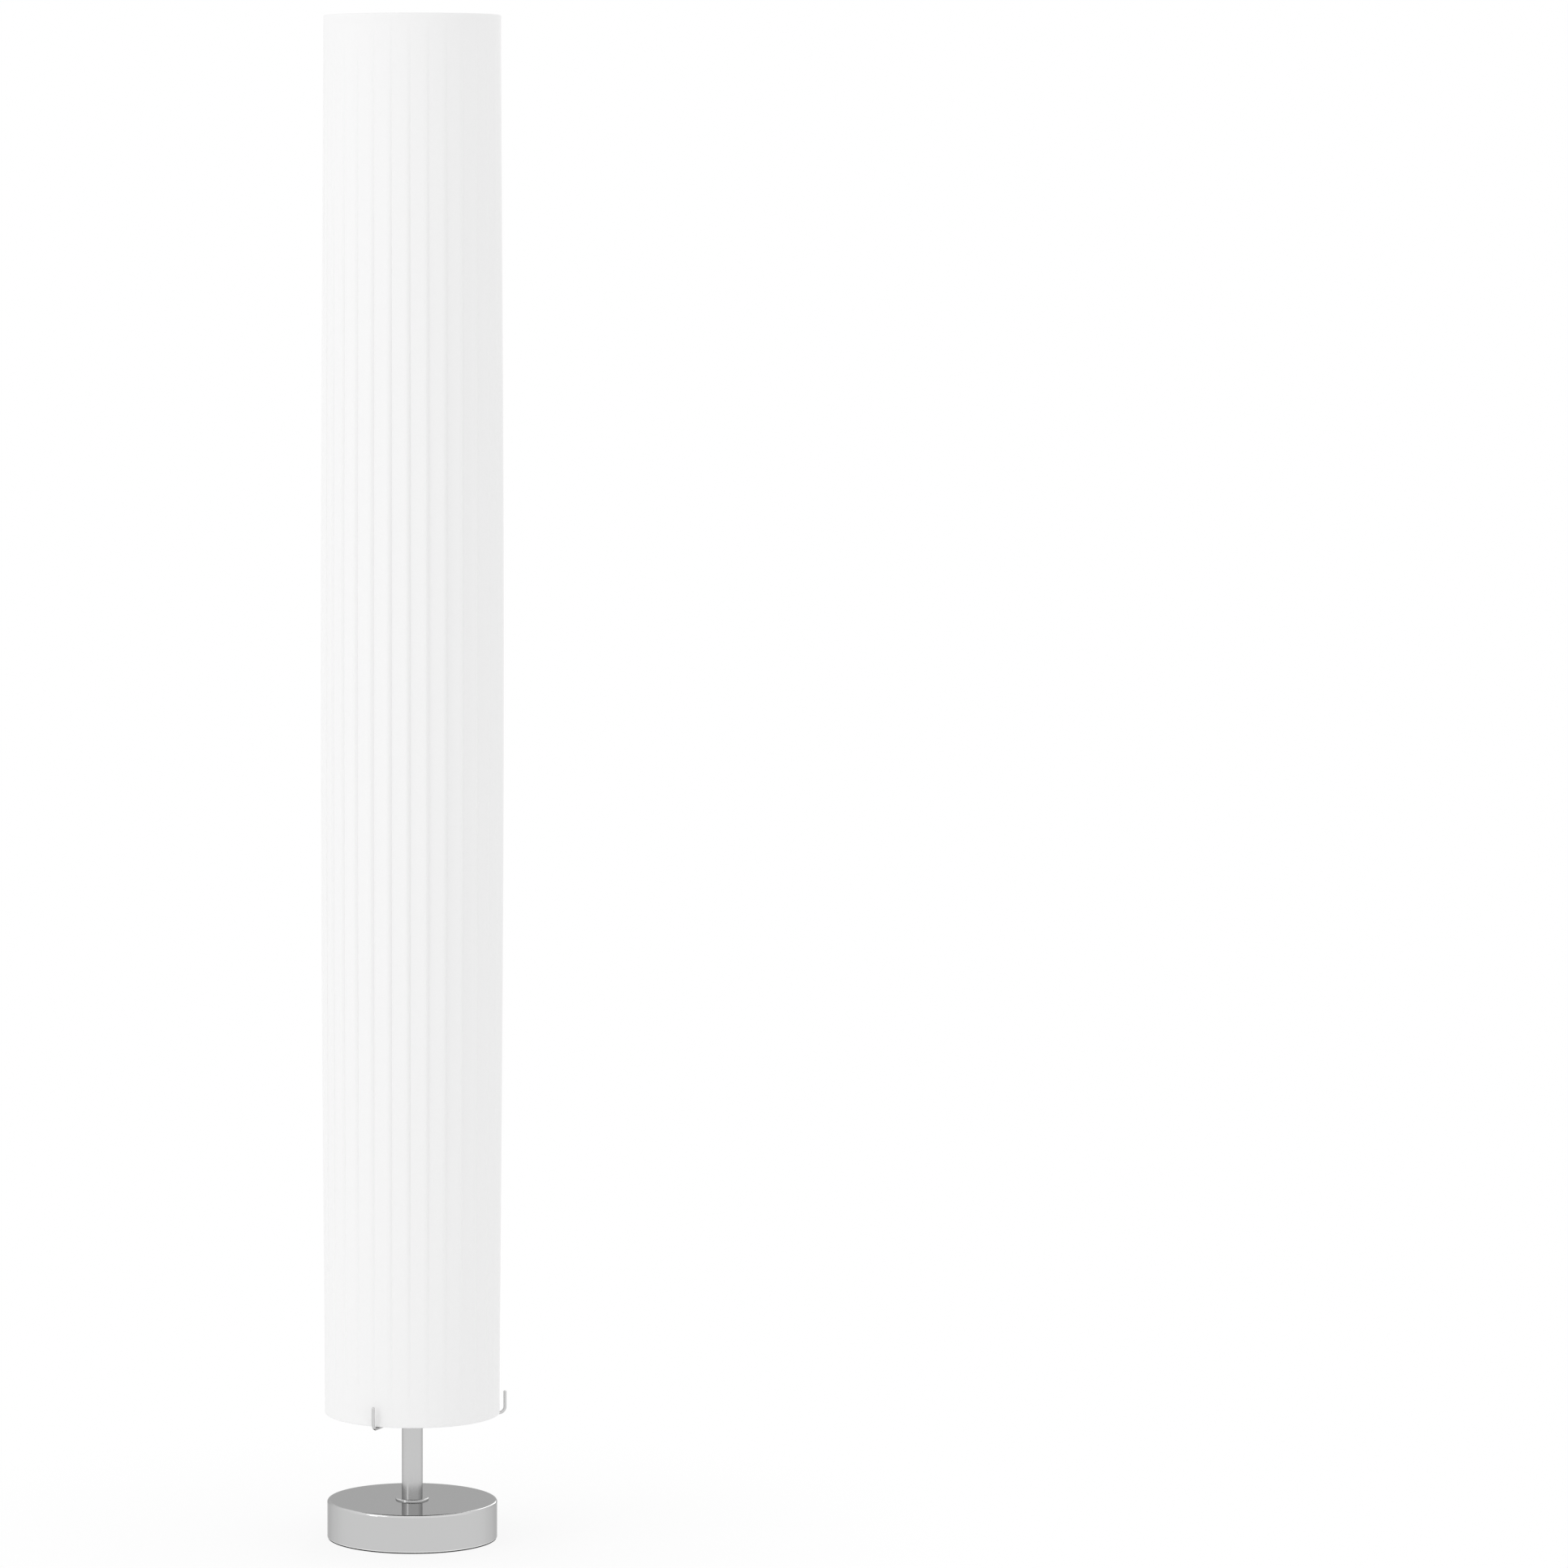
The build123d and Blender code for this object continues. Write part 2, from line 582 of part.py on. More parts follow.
    # A concave shoulder joins the neck to the round globe, inside and outside.
    shoulder_x = neck_radius + BULB_NECK_BLEND
    shoulder_drop = sqrt((BULB_DIA / 2 + BULB_NECK_BLEND) ** 2 - shoulder_x**2)
    shoulder_z = globe_middle - shoulder_drop
    sweep_angle = degrees(atan2(shoulder_drop, shoulder_x))
    with BuildPart() as bulb_globe:
        with BuildSketch(upright):
            for inset, cut in ((0, Mode.ADD), (BULB_WALL, Mode.SUBTRACT)):
                top = globe_middle + BULB_DIA / 2 - inset
                with BuildLine():
                    Polyline(
                        (0, top),
                        (0, globe_foot),
                        (neck_radius - inset, globe_foot),
                        (neck_radius - inset, shoulder_z),
                    )
                    CenterArc((shoulder_x, shoulder_z), BULB_NECK_BLEND + inset, 180, -sweep_angle)
                    CenterArc((0, globe_middle), BULB_DIA / 2 - inset, -sweep_angle, 90 + sweep_angle)
                make_face(mode=cut)
        revolve(axis=axis)
    save(bulb_globe, f"{prefix}_bulb_globe")

    plug_radius = neck_radius - BULB_WALL - HOLDER_PLAY
    with BuildPart() as bulb_emitter:
        with BuildSketch(Plane(origin=(x, 0, seat + globe_foot))):
            Circle(plug_radius)
        extrude(amount=EMITTER_PLUG_HEIGHT)
        with BuildSketch(Plane(origin=(x, 0, seat + globe_foot + EMITTER_PLUG_HEIGHT))):
            Circle(EMITTER_DIA / 2)
        extrude(amount=EMITTER_HEIGHT)
    save(bulb_emitter, f"{prefix}_bulb_emitter")

    # The lead runs from the terminal block up the pole, out through its hole and up into the lampholder.
    lead_x = side * LEAD_SPACING / 2
    lead_route = [
        (side * POLE_SPACING / 2, BLOCK_DISTANCE - LEAD_END_GAP, barrel_height),
        (lead_x, 0, barrel_height),
        (lead_x, 0, lead_hole),
        (x, 0, lead_hole),
        (x, 0, seat + HOLDER_CAP_SHOULDER),
    ]
    routed(f"{prefix}_lead", LEAD_DIA, lead_route, LEAD_BEND_RADIUS)


make_light("lower", -1, lower_plate_foot, lower_lead_hole)
make_light("upper", 1, upper_plate_foot, upper_lead_hole)


def pleated_outline(crest_radius, inset):
    """Draws the closed outline of the pleats at one height. The inset gives the inner face of the cloth."""
    pitch = 360 / PLEATS
    crest = crest_radius - inset
    valley = valley_radius - inset
    crown = crest - PLEAT_CROWN_DROP * (crest - valley)
    turn = inset / crest * 180 / pi
    tuck = PLEAT_TUCK / crest * 180 / pi
    for index in range(PLEATS):
        start = FIRST_FOLD_ANGLE - turn + index * pitch
        crown_point = polar(crown, start + PLEAT_CROWN * pitch)
        fold_point = polar(crest, start + pitch)
        ThreePointArc(polar(valley, start - tuck), crown_point, fold_point)
        Line(fold_point, polar(valley, start + pitch - tuck))


# The pleats are tucked against the liner, and their crests swell from the pressed ends to mid height.
bulge = [0, QUARTER_BULGE, 1, QUARTER_BULGE, 0]
cloth_height = cloth_top - cloth_foot
with BuildPart() as shade_pleats:
    for inset, cut in ((0, Mode.ADD), (CLOTH, Mode.SUBTRACT)):
        for step, share in enumerate(bulge):
            crest_radius = crest_end_radius + share * (crest_mid_radius - crest_end_radius)
            with BuildSketch(Plane.XY.offset(cloth_foot + cloth_height * step / (len(bulge) - 1))):
                with BuildLine():
                    pleated_outline(crest_radius, inset)
                make_face()
        loft(mode=cut)
save(shade_pleats, "shade_pleats")

with BuildPart() as shade_liner:
    with BuildSketch(Plane.XY.offset(cloth_foot)):
        Circle(liner_radius)
        Circle(liner_radius - LINER_WALL, mode=Mode.SUBTRACT)
    extrude(amount=cloth_height)
save(shade_liner, "shade_liner")

ring_ends = {
    "shade_bottom_ring": cloth_foot + RING_WIRE / 2,
    "shade_top_ring": cloth_top - RING_WIRE / 2,
}
for ring_name, ring_height in ring_ends.items():
    with BuildPart() as shade_ring:
        with BuildSketch(Plane.XZ):
            with Locations((ring_radius, ring_height)):
                Circle(RING_WIRE / 2)
        revolve(axis=Axis.Z)
    save(shade_ring, ring_name)

# Each hem is a binding folded over the cloth, the liner and the ring.
hem_ends = {"shade_bottom_hem": (SHADE_FOOT, 1), "shade_top_hem": (shade_top, -1)}
for hem_name, (edge, inward) in hem_ends.items():
    with BuildPart() as shade_hem:
        with BuildSketch(Plane.XZ):
            with BuildLine():
                Polyline(
                    (shade_end_radius, edge),
                    (shade_end_radius, edge + inward * HEM_HEIGHT),
                    (shade_end_radius - HEM_WALL, edge + inward * HEM_HEIGHT),
                    (shade_end_radius - HEM_WALL, edge + inward * HEM_WALL),
                    (hem_inner_radius + HEM_WALL, edge + inward * HEM_WALL),
                    (hem_inner_radius + HEM_WALL, edge + inward * HEM_HEIGHT),
                    (hem_inner_radius, edge + inward * HEM_HEIGHT),
                    (hem_inner_radius, edge),
                    close=True,
                )
            make_face()
        revolve(axis=Axis.Z)
    save(shade_hem, hem_name)
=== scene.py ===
"""Looks of a column floor lamp: a tall knife-pleated cloth shade on wire hooks over a chromed drum base.

Metres, +Z up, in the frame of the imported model. The front of the lamp faces -Y.
"""

import json
import math
import random

import bpy
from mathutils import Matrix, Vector


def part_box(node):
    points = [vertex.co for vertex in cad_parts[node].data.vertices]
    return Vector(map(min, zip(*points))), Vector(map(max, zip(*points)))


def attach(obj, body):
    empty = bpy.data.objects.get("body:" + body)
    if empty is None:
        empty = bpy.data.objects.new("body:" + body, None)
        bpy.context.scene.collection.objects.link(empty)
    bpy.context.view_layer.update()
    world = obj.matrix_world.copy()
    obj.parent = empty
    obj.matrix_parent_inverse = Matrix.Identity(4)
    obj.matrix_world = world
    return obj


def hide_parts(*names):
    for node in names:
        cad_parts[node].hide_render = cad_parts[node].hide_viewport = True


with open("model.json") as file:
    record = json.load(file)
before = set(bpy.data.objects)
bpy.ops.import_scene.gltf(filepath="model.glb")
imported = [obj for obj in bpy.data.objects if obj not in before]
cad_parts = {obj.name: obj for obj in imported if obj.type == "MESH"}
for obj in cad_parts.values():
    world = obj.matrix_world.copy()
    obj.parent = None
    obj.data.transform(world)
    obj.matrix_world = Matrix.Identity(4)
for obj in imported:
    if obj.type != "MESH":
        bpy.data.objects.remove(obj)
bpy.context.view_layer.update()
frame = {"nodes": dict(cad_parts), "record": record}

MM = 0.001

# The pleated cover. Its heights and radii come from the frame, its folds from the photograph.
# A fold's crown is a share of its width, and its under side of its step. Flush values hold at the ends.
PLEATS = 30
FIRST_FOLD_ANGLE = math.radians(-91.3)
PLEAT_TUCK = 3.0 * MM
PLEAT_STEP = 2.2 * MM
FOLD_WIDTH = 4.4 * MM
FOLD_CROWN = 0.3
FOLD_POWER = 3.0
UNDER_SHARE = 1.05
FLUSH_STEP = 0.01 * MM
FLUSH_TUCK = 0.3 * MM
BULGE_POWER = 1.2
PLEAT_POWER = 0.77
PANEL_STEPS = 8
FOLD_STEPS = 9
COVER_RINGS = 72
FOLD_WANDER = 0.06 * MM
STEP_WANDER = 0.05
COVER_SEED = 11
WANDER_WAVES = 3
WANDER_WEIGHT = (0.4, 1.0)
WANDER_TURNS = (1, 4)

# The edge binding at each end of the shade.
HEM_TAPE = 0.3 * MM
HEM_STEP = 0.06 * MM
HEM_WIDTH = 4.7 * MM
HEM_CROWN = 1.2 * MM
HEM_CROWN_STEPS = 5
HEM_SEGMENTS = 240
SHARP_ANGLE = math.radians(40)

# The cloth of the cover and the bindings: crossed threads, with thicker places in the yarn.
THREAD_PITCH = 0.7 * MM
CLOTH_RADIUS = 70 * MM
SLUB_SCALE = 900.0
SLUB_DETAIL = 2.0
CLOTH_LOW = 0.904
CLOTH_HIGH = 0.947
WEAVE_IN_TONE = 0.55
WEAVE_IN_RELIEF = 0.7
CLOTH_RELIEF = 0.05 * MM
CLOTH_RELIEF_STRENGTH = 0.6
CLOTH_ROUGHNESS = 0.85
CLOTH_SPECULAR = 0.25
CLOTH_SHEEN = 0.15
CLOTH_SHEEN_ROUGHNESS = 0.5

# The chrome plating, with wipe marks in its gloss. The base cover's rolled lip has a painted highlight, a
# colour brighter than the rest.
WIPE_SCALE = 60.0
WIPE_DETAIL = 6.0
WIPE_SPREAD = 0.06
LIP_HEIGHT = 0.7 * MM
LIP_CROWN = 0.45 * MM
LIP_HIGHLIGHT_LEVEL = 0.95

# The fine grain of the plain finishes.
GRAIN_DETAIL = 5.0
GRAIN_GLOSS = 0.12
GRAIN_STRENGTH = 0.5

# The camera, fitted to the photograph.
PHOTO_WIDTH = 1932
LAMP_CENTRE_PX = 508
CAMERA_LENS_MM = 150.6
CAMERA_SENSOR_MM = 36
CAMERA_DISTANCE = 5.134
CAMERA_HEIGHT = 1.048
CAMERA_PITCH_DEG = 4.99
CAMERA_REACH = 100

# The light that the photograph was taken in: even fill, a high soft key from the left and a low strip.
# The rear light shows the folds at the back of the shade, and is itself seen as a glint on the base's rim.
FILL_LEVEL = 0.925
SHADE_TARGET = (0, 0, 0.7)
BASE_TARGET = (0, 0, 0.05)
KEY_PLACE = (-3.0, -2.0, 3.1)
KEY_SIZE = (2.2, 0.8)
KEY_WATTS = 15.5
STRIP_PLACE = (-1.96, -1.48, 0.53)
STRIP_SIZE = (0.5, 0.8)
STRIP_WATTS = 1.9
REAR_PLACE = (1.1, 3.0, 1.4)
REAR_SIZE = (0.8, 1.9)
REAR_WATTS = 11.5

# The white room that the chrome mirrors. It is brighter low at the front, on the floor behind and overhead.
# A span is the range of a direction's part along +Y, or upward, over which its extra level comes in.
FRONT_LEVEL = 0.34
FRONT_SPAN = (0.2, -0.5)
FRONT_FOOT = (0.02, 0.12)
FRONT_HEAD = (0.5, 0.3)
GROUND_LEVEL = 0.16
GROUND_SPAN = (0.5, 0.95)
GROUND_EDGE = (0.0, -0.1)
CEILING_LEVEL = 0.12
CEILING_SPAN = (0.4, 0.7)

# The floor reads white to the eye. Close to the lamp a share of plain paper lets the shadow show.
FLOOR_REACH = 9
FLOOR_PAPER = 0.9
SHADOW_SHARE = 0.2
SHADOW_SPAN = (0.5, 0.08)

# The colour sockets of a Mix node go by number, because its other sockets have the same names.
MIX_LOW = 6
MIX_HIGH = 7
MIX_RESULT = 2


class Value:
    """A shader socket that takes part in Python arithmetic. Each operation adds one Math node."""

    def __init__(self, finish, socket):
        self.finish = finish
        self.socket = socket

    def math(self, operation, first, second=None):
        operands = [first] if second is None else [first, second]
        return self.finish.node("ShaderNodeMath", {"operation": operation}, dict(enumerate(operands)))

    def __add__(self, other):
        return self.math("ADD", self, other)

    __radd__ = __add__

    def __sub__(self, other):
        return self.math("SUBTRACT", self, other)

    def __rsub__(self, other):
        return self.math("SUBTRACT", other, self)

    def __mul__(self, other):
        return self.math("MULTIPLY", self, other)

    __rmul__ = __mul__

    def __truediv__(self, other):
        return self.math("DIVIDE", self, other)

    def sine(self):
        return self.math("SINE", self)


class Finish:
    """The node tree of one material or of the world."""

    def __init__(self, owner):
        owner.use_nodes = True
        self.tree = owner.node_tree
        self.tree.nodes.clear()

    def node(self, kind, settings=None, sockets=None, output=0):
        """Adds a node: its settings first, then the values or links of its sockets. Returns one output."""
        made = self.tree.nodes.new(kind)
        for key, setting in (settings or {}).items():
            setattr(made, key, setting)
        for key, given in (sockets or {}).items():
            if isinstance(given, Value):
                self.tree.links.new(given.socket, made.inputs[key])
            else:
                made.inputs[key].default_value = given
        return Value(self, made.outputs[output]) if made.outputs else None


def material(name, build):
    """A named material whose surface is what build returns for its node tree."""
    made = bpy.data.materials.new(name)
    finish = Finish(made)
    surface = build(finish)
    finish.node("ShaderNodeOutputMaterial", sockets={"Surface": surface})
    return made


def grey(level):
    return (level, level, level, 1)


def object_place(finish):
    return finish.node("ShaderNodeTexCoord", output="Object")


def noise(finish, scale, detail):
    """Fractal noise from 0 to 1, with a scale in cycles per metre."""
    sockets = {"Vector": object_place(finish), "Scale": scale, "Detail": detail}
    return finish.node("ShaderNodeTexNoise", sockets=sockets)


def tint(finish, factor, low, high):
    """A colour between low and high."""
    sockets = {"Factor": factor, MIX_LOW: low, MIX_HIGH: high}
    return finish.node("ShaderNodeMix", {"data_type": "RGBA"}, sockets, output=MIX_RESULT)


def smooth_step(finish, given, span):
    """Eases from 0 to 1 while the given value goes from the span's start to its end."""
    sockets = {"Value": given, "From Min": span[0], "From Max": span[1]}
    return finish.node("ShaderNodeMapRange", {"interpolation_type": "SMOOTHSTEP"}, sockets)


def bump(finish, height, distance, strength):
    sockets = {"Height": height, "Distance": distance, "Strength": strength}
    return finish.node("ShaderNodeBump", sockets=sockets)


def axis_part(finish, place, axis):
    """The X, Y or Z of a place or direction."""
    return finish.node("ShaderNodeSeparateXYZ", sockets={0: place}, output=axis)


def woven_cloth(finish):
    """White lampshade cloth: crossed threads round the column and up it, with a soft nap."""
    place = object_place(finish)
    across, behind, height = [axis_part(finish, place, axis) for axis in "XYZ"]
    angle = finish.node("ShaderNodeMath", {"operation": "ARCTAN2"}, {0: behind, 1: across})
    turn_per_metre = 2 * math.pi / THREAD_PITCH
    round_thread = (angle * (CLOTH_RADIUS * turn_per_metre)).sine()
    up_thread = (height * turn_per_metre).sine()
    weave = round_thread * up_thread * 0.5 + 0.5
    slub = noise(finish, SLUB_SCALE, SLUB_DETAIL)
    tone = weave * WEAVE_IN_TONE + slub * (1 - WEAVE_IN_TONE)
    relief = weave * WEAVE_IN_RELIEF + slub * (1 - WEAVE_IN_RELIEF)
    sockets = {
        "Base Color": tint(finish, tone, grey(CLOTH_LOW), grey(CLOTH_HIGH)),
        "Roughness": CLOTH_ROUGHNESS,
        "Normal": bump(finish, relief, CLOTH_RELIEF, CLOTH_RELIEF_STRENGTH),
        "Specular IOR Level": CLOTH_SPECULAR,
        "Sheen Weight": CLOTH_SHEEN,
        "Sheen Roughness": CLOTH_SHEEN_ROUGHNESS,
    }
    return finish.node("ShaderNodeBsdfPrincipled", sockets=sockets)


def chrome(level, roughness, edge, highlight_span=None):
    """Plated steel with faint wipe marks in its gloss. The edge is its reflectance at a glancing view.

    The span of heights given last gets a painted highlight: a brighter colour there.
    """
    def build(finish):
        wipe = noise(finish, WIPE_SCALE, WIPE_DETAIL)
        plating_and_highlight = grey(level)
        if highlight_span:
            # A painted highlight: the colour is made brighter over the given span of heights.
            height = axis_part(finish, object_place(finish), "Z")
            plating_and_highlight = tint(finish, smooth_step(finish, height, highlight_span), plating_and_highlight, grey(LIP_HIGHLIGHT_LEVEL))
        sockets = {
            "Base Color": plating_and_highlight,
            "Metallic": 1.0,
            "Roughness": wipe * WIPE_SPREAD + roughness,
            "Specular Tint": grey(edge),
        }
        return finish.node("ShaderNodeBsdfPrincipled", sockets=sockets)
    return build


def plain(level, roughness, metallic=0.0, grain=400.0, relief=0.02 * MM, tone=(1, 1, 1), spread=0.06):
    """A finish with a fine grain in its colour, gloss and relief."""
    def build(finish):
        speck = noise(finish, grain, GRAIN_DETAIL)
        low = tuple(level * (1 - spread) * part for part in tone) + (1,)
        high = tuple(min(1.0, level * (1 + spread)) * part for part in tone) + (1,)
        sockets = {
            "Base Color": tint(finish, speck, low, high),
            "Metallic": metallic,
            "Roughness": speck * GRAIN_GLOSS + (roughness - GRAIN_GLOSS / 2),
            "Normal": bump(finish, speck, relief, GRAIN_STRENGTH),
        }
        return finish.node("ShaderNodeBsdfPrincipled", sockets=sockets)
    return build


# A painted highlight along the base cover's rolled lip, brightest at its lowest part.
cover_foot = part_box("base_cover")[0].z
lip_highlight_span = (cover_foot + LIP_HEIGHT, cover_foot + LIP_CROWN)
FINISHES = {
    "cloth": woven_cloth,
    "chrome": chrome(level=0.56, roughness=0.05, edge=0.53),
    "base_chrome_painted_lip": chrome(level=0.56, roughness=0.05, edge=0.53, highlight_span=lip_highlight_span),
    "tube_chrome": chrome(level=0.56, roughness=0.17, edge=0.4),
    "satin_chrome": chrome(level=0.56, roughness=0.32, edge=0.45),
    "wire_chrome": chrome(level=0.62, roughness=0.3, edge=0.5),
    "plated_steel": plain(level=0.58, roughness=0.34, metallic=1.0, tone=(1, 0.99, 0.95)),
    "white_paint": plain(level=0.84, roughness=0.42, grain=900.0),
    "iron": plain(level=0.1, roughness=0.75, grain=700.0, relief=0.25 * MM, spread=0.3),
    "pad_foam": plain(level=0.035, roughness=0.9, grain=1500.0, relief=0.2 * MM, spread=0.3),
    "brass": plain(level=0.78, roughness=0.28, metallic=1.0, tone=(1, 0.78, 0.42)),
    "holder_plastic": plain(level=0.76, roughness=0.38, grain=1200.0, tone=(1, 0.995, 0.98)),
    "black_plastic": plain(level=0.03, roughness=0.42, grain=1200.0, spread=0.2),
    "porcelain": plain(level=0.86, roughness=0.2, grain=300.0, tone=(1, 0.985, 0.95), spread=0.03),
    "opal_glass": plain(level=0.86, roughness=0.2, grain=40.0, relief=0.0, tone=(1, 1, 0.985), spread=0.02),
    "nickel": plain(level=0.66, roughness=0.22, metallic=1.0, tone=(1, 0.98, 0.94)),
    "lead_sleeve": plain(level=0.82, roughness=0.45, grain=600.0),
    "liner_film": plain(level=0.88, roughness=0.4, grain=250.0, spread=0.03),
}
materials = {slot: material(slot, build) for slot, build in FINISHES.items()}


def add_object(name, data):
    made = bpy.data.objects.new(name, data)
    bpy.context.scene.collection.objects.link(made)
    return made


def cloth_piece(name, points, faces, node):
    """A cloth mesh of the shade, smooth but for its sharp edges, in the place of a node's solid."""
    mesh = bpy.data.meshes.new(name)
    mesh.from_pydata(points, [], faces)
    mesh.update()
    mesh.polygons.foreach_set("use_smooth", [True] * len(mesh.polygons))
    mesh.set_sharp_from_angle(angle=SHARP_ANGLE)
    mesh.materials.append(materials["cloth"])
    piece = add_object(name, mesh)
    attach(piece, "shade")
    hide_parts(node)
    return piece


def ring_faces(rings, columns, closed_up=False):
    """Quads between rings of points that go round the column."""
    faces = []
    for ring in range(rings if closed_up else rings - 1):
        low = ring * columns
        high = (ring + 1) % rings * columns
        for column in range(columns):
            following = (column + 1) % columns
            faces.append((low + column, low + following, high + following, high + column))
    return faces


def pleat_section(width, radius, swell, start_step, end_step):
    """One knife pleat: from under the one before it, up its straight panel, round its fold and back under.

    The points are distances along the column's girth, and outward from its crests.
    """
    tuck = PLEAT_TUCK * swell + FLUSH_TUCK
    panel_end = width - FOLD_WIDTH
    crown = panel_end + FOLD_CROWN * FOLD_WIDTH

    def panel(along):
        chord = max(0.0, along * (crown - along)) / (2 * radius)
        return start_step * (along / crown - 1) - chord * swell

    fold_drop = panel(width) + end_step
    points = []
    for number in range(PANEL_STEPS + 1):
        along = -tuck + (panel_end + tuck) * number / PANEL_STEPS
        points.append((along, panel(along)))
    for number in range(1, FOLD_STEPS + 1):
        share = number / FOLD_STEPS
        along = panel_end + FOLD_WIDTH * share
        points.append((along, panel(along) - fold_drop * share**FOLD_POWER))
    points.append((width - tuck, -UNDER_SHARE * end_step))
    return points


def wander(rng):
    """A slow, smooth drift along the height, from -1 to 1 and still at both ends."""
    waves = []
    for _ in range(WANDER_WAVES):
        waves.append((rng.uniform(*WANDER_WEIGHT), rng.randint(*WANDER_TURNS), rng.uniform(0, 2 * math.pi)))
    total = sum(weight for weight, _, _ in waves)

    def drift(share):
        wave = sum(weight * math.sin(turns * 2 * math.pi * share + phase) for weight, turns, phase in waves)
        return wave / total * math.sin(math.pi * share)
    return drift


def pleated_cover():
    """The cloth cover: valleys on the liner, and crests that swell from the pressed ends to mid height."""
    low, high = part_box("shade_pleats")
    hem_low, hem_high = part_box("shade_top_hem")
    crest_mid = (high.y - low.y) / 2
    crest_end = (hem_high.x - hem_low.x) / 2 - HEM_STEP
    rng = random.Random(COVER_SEED)
    drifts = [(wander(rng), wander(rng)) for _ in range(PLEATS)]
    points = []
    for ring in range(COVER_RINGS):
        share = (1 - math.cos(math.pi * ring / (COVER_RINGS - 1))) / 2
        arch = max(0.0, math.sin(math.pi * share))
        crest_radius = crest_end + arch**BULGE_POWER * (crest_mid - crest_end)
        swell = arch**PLEAT_POWER
        height = low.z + share * (high.z - low.z)
        folds = []
        for index, (sideways, fuller) in enumerate(drifts):
            place = FIRST_FOLD_ANGLE + index * 2 * math.pi / PLEATS
            drift = sideways(share) * FOLD_WANDER / crest_radius
            step = FLUSH_STEP + swell * PLEAT_STEP * (1 + STEP_WANDER * fuller(share))
            folds.append((place + drift, step))
        folds.append((folds[0][0] + 2 * math.pi, folds[0][1]))
        for (start, start_step), (end, end_step) in zip(folds, folds[1:]):
            width = (end - start) * crest_radius
            for along, outward in pleat_section(width, crest_radius, swell, start_step, end_step):
                angle = start + along / crest_radius
                radius = crest_radius + outward
                points.append((radius * math.cos(angle), radius * math.sin(angle), height))
    columns = len(points) // COVER_RINGS
    return cloth_piece("pleated_cover", points, ring_faces(COVER_RINGS, columns), "shade_pleats")


def hem(name, node, inward):
    """Cloth tape folded over one end of the shade, with a soft crown."""
    low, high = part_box(node)
    outer = (high.x - low.x) / 2
    inner = outer - HEM_WIDTH
    edge = low.z if inward > 0 else high.z
    depth = high.z - low.z
    outline = []
    for tape in (0, HEM_TAPE):
        bend = HEM_CROWN - tape
        side = [(outer - tape, depth)]
        for centre, start in ((outer - HEM_CROWN, 0), (inner + HEM_CROWN, math.pi / 2)):
            for step in range(HEM_CROWN_STEPS + 1):
                turn = start + math.pi / 2 * step / HEM_CROWN_STEPS
                side.append((centre + bend * math.cos(turn), HEM_CROWN - bend * math.sin(turn)))
        side.append((inner + tape, depth))
        outline += side if tape == 0 else reversed(side)
    points = []
    for radius, height in outline if inward < 0 else reversed(outline):
        for column in range(HEM_SEGMENTS):
            angle = 2 * math.pi * column / HEM_SEGMENTS
            points.append((radius * math.cos(angle), radius * math.sin(angle), edge + inward * height))
    faces = ring_faces(len(outline), HEM_SEGMENTS, closed_up=True)
    return cloth_piece(name, points, faces, node)


cover = pleated_cover()
top_hem = hem("top_hem", "shade_top_hem", -1)
bottom_hem = hem("bottom_hem", "shade_bottom_hem", 1)

# The rigid pieces keep their solids and take the finish of their slot, or the one that is named here.
slots = {entry["node"]: entry["material_slot"] for entry in frame["record"]["subparts"]}
slots.update({
    "base_cover": "base_chrome_painted_lip",
    "stem_tube": "tube_chrome",
    "lower_pole": "satin_chrome",
    "upper_pole": "satin_chrome",
    "holder_wire_front": "wire_chrome",
    "holder_wire_right": "wire_chrome",
    "holder_wire_rear": "wire_chrome",
})
for node, shown in frame["nodes"].items():
    shown.data.materials.clear()
    shown.data.materials.append(materials[slots[node]])


def studio_floor():
    """A pale floor, white to the eye, that keeps a soft shadow. The chrome mirrors the room instead."""
    corners = [(x * FLOOR_REACH, y * FLOOR_REACH, 0) for x, y in ((-1, -1), (1, -1), (1, 1), (-1, 1))]
    mesh = bpy.data.meshes.new("floor")
    mesh.from_pydata(corners, [], [(0, 1, 2, 3)])
    floor = add_object("floor", mesh)
    floor.visible_glossy = False

    def build(finish):
        seen = finish.node("ShaderNodeLightPath", output="Is Camera Ray")
        place = object_place(finish)
        away = finish.node("ShaderNodeVectorMath", {"operation": "LENGTH"}, {0: place}, output="Value")
        clear = 1 - smooth_step(finish, away, SHADOW_SPAN) * SHADOW_SHARE
        paper = finish.node("ShaderNodeBsdfDiffuse", sockets={"Color": grey(FLOOR_PAPER)})
        white = finish.node("ShaderNodeEmission", sockets={"Color": grey(1), "Strength": 1})
        return finish.node("ShaderNodeMixShader", sockets={0: seen * clear, 1: paper, 2: white})
    floor.data.materials.append(material("floor_paper", build))


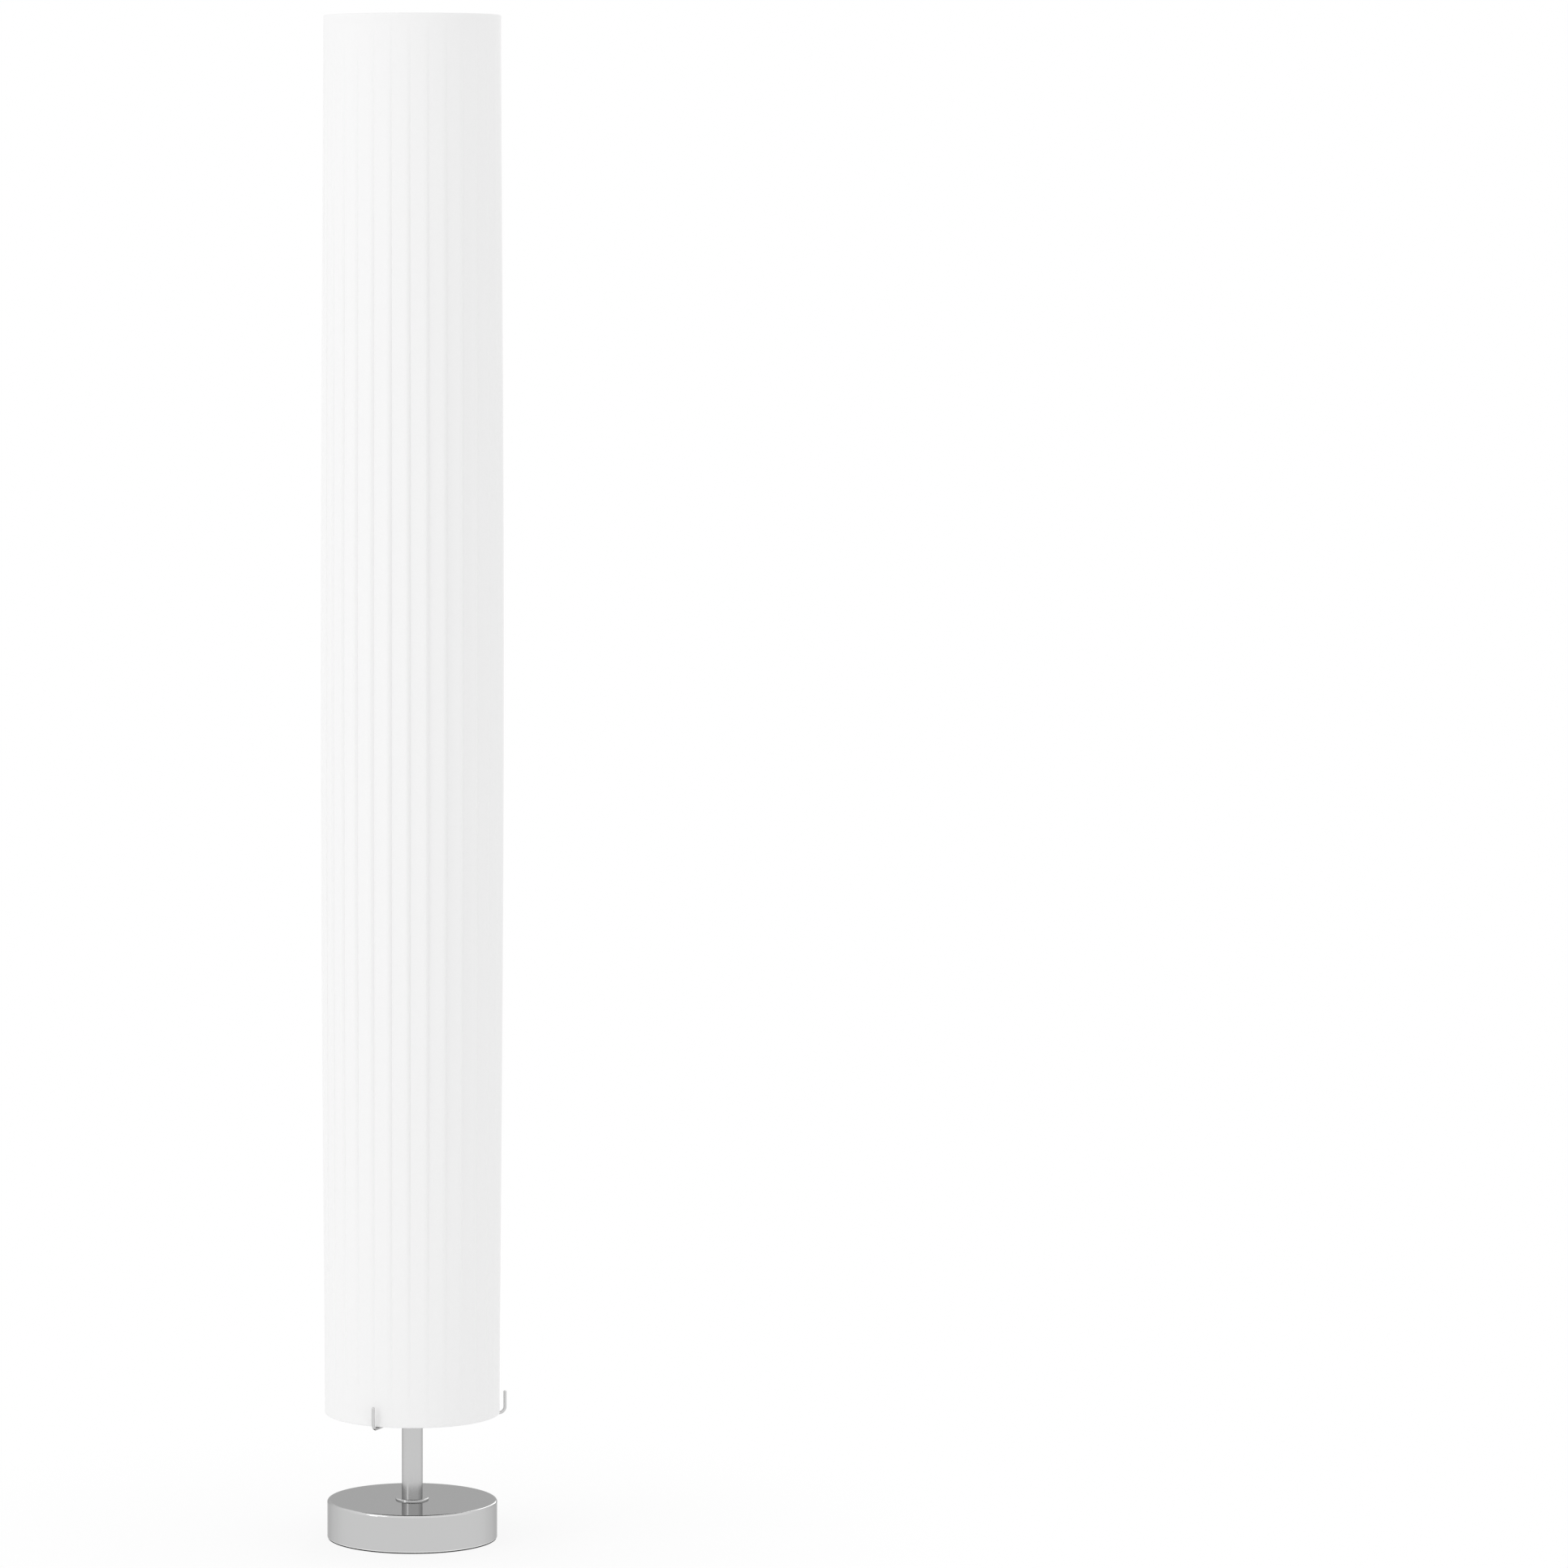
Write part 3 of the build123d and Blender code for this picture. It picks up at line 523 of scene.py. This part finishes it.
def studio_world():
    """White to the eye, an even fill for the lamp, and a room for the chrome to mirror."""
    world = bpy.data.worlds.new("studio")
    bpy.context.scene.world = world
    finish = Finish(world)
    direction = finish.node("ShaderNodeTexCoord", output="Generated")
    behind, above = [axis_part(finish, direction, axis) for axis in "YZ"]
    seen = finish.node("ShaderNodeLightPath", output="Is Camera Ray")
    mirrored = finish.node("ShaderNodeLightPath", output="Is Glossy Ray")
    band = smooth_step(finish, above, FRONT_FOOT) * smooth_step(finish, above, FRONT_HEAD)
    front = smooth_step(finish, behind, FRONT_SPAN) * band * FRONT_LEVEL
    below = smooth_step(finish, above, GROUND_EDGE)
    ground = smooth_step(finish, behind, GROUND_SPAN) * below * GROUND_LEVEL
    ceiling = smooth_step(finish, above, CEILING_SPAN) * CEILING_LEVEL
    room = 1 + front + ground + ceiling
    level = seen + mirrored * room + (1 - seen - mirrored) * FILL_LEVEL
    peak = 1 + max(FRONT_LEVEL + CEILING_LEVEL, GROUND_LEVEL)
    glow = tint(finish, level / peak, grey(0), grey(1))
    sky = finish.node("ShaderNodeBackground", sockets={"Color": glow, "Strength": peak})
    finish.node("ShaderNodeOutputWorld", sockets={"Surface": sky})


def softbox(name, place, target, size, watts):
    lamp = bpy.data.lights.new(name, "AREA")
    lamp.shape = "RECTANGLE"
    lamp.size, lamp.size_y = size
    lamp.energy = watts
    box = add_object(name, lamp)
    box.location = place
    box.rotation_euler = (Vector(target) - Vector(place)).to_track_quat("-Z", "Y").to_euler()
    box.visible_camera = False


def photo_camera():
    data = bpy.data.cameras.new("photo_camera")
    camera = add_object("photo_camera", data)
    camera.location = (0, -CAMERA_DISTANCE, CAMERA_HEIGHT)
    camera.rotation_euler = (math.radians(90 - CAMERA_PITCH_DEG), 0, 0)
    data.lens = CAMERA_LENS_MM
    data.sensor_width = CAMERA_SENSOR_MM
    data.shift_x = (PHOTO_WIDTH / 2 - LAMP_CENTRE_PX) / PHOTO_WIDTH
    data.clip_end = CAMERA_REACH
    bpy.context.scene.camera = camera


studio_floor()
studio_world()
softbox("key_left", KEY_PLACE, SHADE_TARGET, KEY_SIZE, KEY_WATTS)
softbox("strip_left", STRIP_PLACE, BASE_TARGET, STRIP_SIZE, STRIP_WATTS)
softbox("rear_light", REAR_PLACE, SHADE_TARGET, REAR_SIZE, REAR_WATTS)
photo_camera()
bpy.context.scene.view_settings.view_transform = "Standard"
